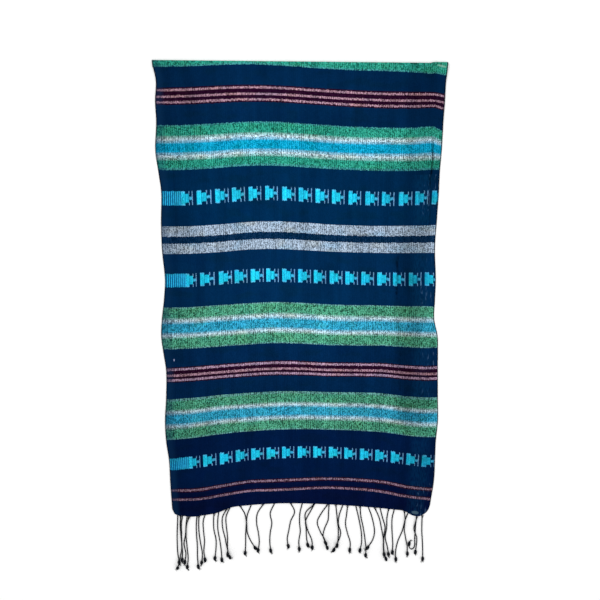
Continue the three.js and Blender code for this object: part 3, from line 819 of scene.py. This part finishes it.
def yarnTone(across, place):  # flecks, dashes down alternate dents, streaks along both yarns
    row = (place / weave["fleckHigh"]).calc("FLOOR")
    tone = (across / weave["fleckLong"] + row.chance() * 9).chance(row)
    warp, weft = (across / weave["warp"]).calc("FLOOR"), (place / weave["weft"]).calc("FLOOR")
    dent = (across / weave["dent"]).calc("FLOOR")
    sign = 1 - (dent / 2 - (dent / 2).calc("FLOOR")) * 4
    dash = (place / weave["dentLong"] + dent.chance() * 5).chance(dent) + 0.35
    tone = tone + across.noise(warp * 3.77, place * 0.08) * 0.25 + sign * dash * 0.45
    return tone + across.noise(across * 0.09, weft * 7.31) * 0.3


def unevenDye(colour, across, place):  # broad patches that took the dye a little redder or bluer
    for away, tint in dyeing["tints"]:
        patch = across.noise(across * dyeing["across"] + away, place * dyeing["along"])
        colour = patch.between(0.0, dyeing["full"]).blend(colour, tint, "MULTIPLY")
    return colour


def crossings(across, place):  # each crossing's bulge, and 1 where the weft is on top
    warp, weft = (across / weave["warp"]).calc("FLOOR"), (place / weave["weft"]).calc("FLOOR")
    parity = (warp + weft) / 2
    over = (parity - parity.calc("FLOOR")) * 2
    sides = [((part - whole) * math.pi).calc("SINE") for part, whole in (
        (across / weave["warp"], warp), (place / weave["weft"], weft))]
    return sides[0] * sides[1], over


def stripeColours(across, place, waver):  # colour and fleck strength, pick by pick
    pick = ((place + waver) / weave["weft"]).calc("FLOOR")
    tooth = (across / weave["fleckLong"]).chance(pick) * weave["tooth"]
    shown = (pick + 0.5) * weave["weft"] + tooth
    colour = stripeRamp(shown, *rampEnds[:2])
    flecked = colour.other(1)
    for low, high in zip(rampEnds[1:], rampEnds[2:]):
        past, later = place > low, stripeRamp(shown, low, high)
        colour, flecked = colour.mix(past, later), flecked * (1 - past) + later.other(1) * past
    white = 0
    for middle, mixedHalf, whiteHalf in whites:
        white = (shown.near(middle, mixedHalf, 2.0) + shown.near(middle, whiteHalf, 1.0)) * 0.5 + white
    return colour.mix(white, dyes["white"]), flecked * (1 - white) + white * dyes["white"][3]


def addTied(colour, flecked, across, place, waver):  # the tied rows over the stripes
    # edge grows towards the right edge, for painted shade on the tied blocks
    edge = across.between(120, 266)
    solid, lines, plain, ends, seam = tiedMasks(across, place + waver)
    bright, ruled = tiedColours(across, place, edge, ends, seam)
    colour = colour.mix(plain, ruled).mix(lines * 0.9, tied["pale"]).mix(solid, bright)
    flecked = flecked * (1 - solid) * (1 - plain) + (solid + plain) * 0.25
    return colour, flecked, plain, solid + lines + plain


def addFlecks(colour, flecked, speck):  # each fleck darker or paler, as far as its dye shows it
    fleck = (speck * weave["gain"]).calc("MINIMUM", 1.0).calc("MAXIMUM", -1.0)
    paler, darker = fleck.calc("MAXIMUM", 0.0) * flecked, fleck.calc("MINIMUM", 0.0) * flecked
    colour = colour.scaled(1 + darker * weave["darker"] + paler * weave["paler"])
    return colour.mix(paler * flecked * 0.06, paint(235, 240, 243))


# how light the weave is: painted shade over each crossing's bulge, the crossings' own two tones, broad
# random changes, painted shadow in the creases and hollows, and a darker far end
def clothShade(across, place, flecked, bulge, over):  # of the crossings, of broad changes and of creases
    broad = across.noise(across * 0.012, place * 0.012, 2.0) * 0.4
    broad = broad + across.noise(across * 0.055, place * 0.006, 2.0) * 0.5
    # painted shade: each crossing lighter in its middle and darker at its sides
    shade = (0.86 + bulge * 0.24) * (1.04 - over * (0.08 + flecked * 0.2))
    shade = shade * (1 + broad) * paintedShade(across, place)
    return shade * (1 - place.between(laterShade["from"], laterShade["by"]) * laterShade["less"])


def darkEdges(colour, across, plain):  # the left selvedge, but for its plain stretches, and the rims
    selvedge = (1 - across.between(*edges["selvedge"])) * (1 - plain)
    colour = colour.mix(selvedge * edges["selvedgeShare"], edges["selvedgeColour"])
    rim = across.calc("ABSOLUTE").between(*edges["rim"])
    return colour.mix(rim * edges["rimShare"], edges["rimColour"])


def paleTicks(colour, across, place, ground):  # broken pale columns, on the dark ground alone
    dashes = across.noise(across * 0.45, place * 0.09)
    glow = across.between(*ticks["glowFrom"]) * (1 - across.between(*ticks["glowTo"]))
    glow = glow * dashes.between(-0.3, 0.2)
    colour = colour.mix(glow * ground * ticks["glowShare"], ticks["glow"])
    stretches = across.noise(place * 0.02, across * 0.01).between(-0.12, 0.1)
    for warp, half in ticks["columns"]:
        marks = dashes.between(0.04, 0.14) * stretches * across.near(warp, half, 1.0)
        colour = colour.mix(marks * ground * ticks["share"], ticks["colour"])
    return colour


def addMarksAndGlint(colour, across, place):  # each an ellipse with soft sides
    for warp, at, wide, high, strength, tint in marksAndGlint:
        off = ((across - warp) / wide).calc("POWER", 2.0) + ((place - at) / high).calc("POWER", 2.0)
        colour = colour.mix((1 - off.between(0.3, 1)) * strength, tint)
    return colour


def makeClothMaterial():  # the stripes, then what lies over them, in millimetres across and along the cloth
    material, start = startMaterial("handwoven_stripes")
    across, down = (part * 1000 for part in start.uvParts("weave"))
    under = (down < -foldGreen) + (down < -cloth["repeat"])  # past the fold the repeat starts again
    place = down + under * cloth["repeat"]
    waver = across.noise(across * 0.02, place * 0.05, 2.0) * weave["waver"]

    colour, flecked = stripeColours(across, place, waver)
    colour, flecked, plain, covered = addTied(colour, flecked, across, place, waver)
    speck, (bulge, over) = yarnTone(across, place), crossings(across, place)
    colour = addFlecks(colour, flecked, speck)
    colour = colour.scaled(clothShade(across, place, flecked, bulge, over))
    colour = darkEdges(unevenDye(colour, across, place), across, plain)
    ground = (1 - (flecked + covered).between(0.15, 0.4)) * (place > ticks["from"])
    colour = addMarksAndGlint(paleTicks(colour, across, place, ground), across, place)

    height = bulge * 0.5 + speck * 0.4
    normal = start.make("ShaderNodeBump", None, {"Strength": 0.4, "Distance": 0.0004, "Height": height})
    finishMaterial(start, colour, 0.9 + speck * 0.08, 0.0, {"Normal": normal})
    return material


def makeCordMaterial():  # near-black fibres that lie along the twist
    material, start = startMaterial("twisted_cotton")
    turn, along = start.uvParts("cord")
    along = along * 1000
    fibre = along.noise(turn * 9 + along * 1.1, along * 0.5, 2.0)
    colour = fibre.between(-0.15, 0.2).blend(paint(3, 5, 9), paint(20, 24, 32))
    normal = start.make("ShaderNodeBump", None, {"Strength": 0.3, "Distance": 0.0002, "Height": fibre})
    finishMaterial(start, colour, 0.9 + fibre * 0.15, 0.1, {"Normal": normal})
    return material


# camera, floor and light

view = {
    "lens": 50,             # on a 36 mm wide sensor
    "distance": 1638,       # from the point looked at
    "tilt": 14.03,          # degrees from straight down, towards the fold
    "lookDown": 451.2,      # of that point, from the fold
    "lookHigh": 2.7,
}


def makeCamera():  # looks down at the cloth, a little from the hem's side
    data = bpy.data.cameras.new("camera")
    data.lens, data.sensor_width = view["lens"], 36
    data.clip_start, data.clip_end = 0.05, 50
    camera = bpy.data.objects.new("camera", data)
    tilt, far = math.radians(view["tilt"]), view["distance"]
    look = np.array([0, -view["lookDown"], view["lookHigh"]])
    back = np.array([0, math.sin(tilt), math.cos(tilt)])
    camera.location = (look + back * far) * mm + shift
    camera.rotation_euler = (-tilt, 0, 0)
    bpy.context.scene.collection.objects.link(camera)
    bpy.context.scene.camera = camera


def makeFloor():  # a pale sheet
    half = 6  # metres
    corners = [(-half, -half, 0), (half, -half, 0), (half, half, 0), (-half, half, 0)]
    mesh = bpy.data.meshes.new("floor")
    mesh.from_pydata(corners, [], [(0, 1, 2, 3)])
    floor = bpy.data.objects.new("floor", mesh)
    floor.location = (0, 0, -0.0002)  # just under the cloth
    bpy.context.scene.collection.objects.link(floor)
    material, start = startMaterial("paper")
    finishMaterial(start, (0.93, 0.93, 0.93, 1), 0.9, 0.1)
    mesh.materials.append(material)


# each light's place, the sides of its square and its power, in metres and watts; all look at the origin
lights = {"key": ((-0.9, 1.3, 2.6), 1.6, 34), "fill": ((1.2, -0.6, 2.8), 2.2, 22)}


def makeLight(name, where, size, power):
    data = bpy.data.lights.new(name, "AREA")
    data.shape, data.size, data.size_y, data.energy = "RECTANGLE", size, size, power
    light = bpy.data.objects.new(name, data)
    light.location = where
    aim = -np.array(where) / np.linalg.norm(where)
    light.rotation_euler = (math.acos(-aim[2]), 0, math.atan2(aim[1], aim[0]) - math.pi / 2)
    bpy.context.scene.collection.objects.link(light)


def makeStudio():  # even white light all round, and the lamps
    world = bpy.data.worlds.new("studio")
    world.use_nodes = True
    backdrop = world.node_tree.nodes["Background"]
    backdrop.inputs["Color"].default_value = (1, 1, 1, 1)
    backdrop.inputs["Strength"].default_value = 0.7
    bpy.context.scene.world = world
    bpy.context.scene.view_settings.view_transform = "Standard"
    for name, (where, size, power) in lights.items():
        makeLight(name, where, size, power)


makeCamera()
makeFloor()
makeStudio()
print("camera, floor and lights made")

upper, under = makeUpper(), makeLower()
print("cloth made")

backLines = [backLine(strand) for strand in backStrands]
others = np.concatenate([np.column_stack([line, thick]) for line, _, thick, _ in backLines])
frontLines = [frontLine(strand, others) for strand in frontStrands]
fringeFront = makeFringe("fringe_upper_end", "fringe_front", frontLines, 31, frontStrands, False)
fringeBack = makeFringe("fringe_lower_end", "fringe_back", backLines, 57, backStrands, True)
print("fringes made")

clothFinish, cordFinish = makeClothMaterial(), makeCordMaterial()
for pieces, finish in (((upper, under), clothFinish), ((fringeFront, fringeBack), cordFinish)):
    for piece in pieces:
        piece.data.materials.append(finish)
print("materials made")
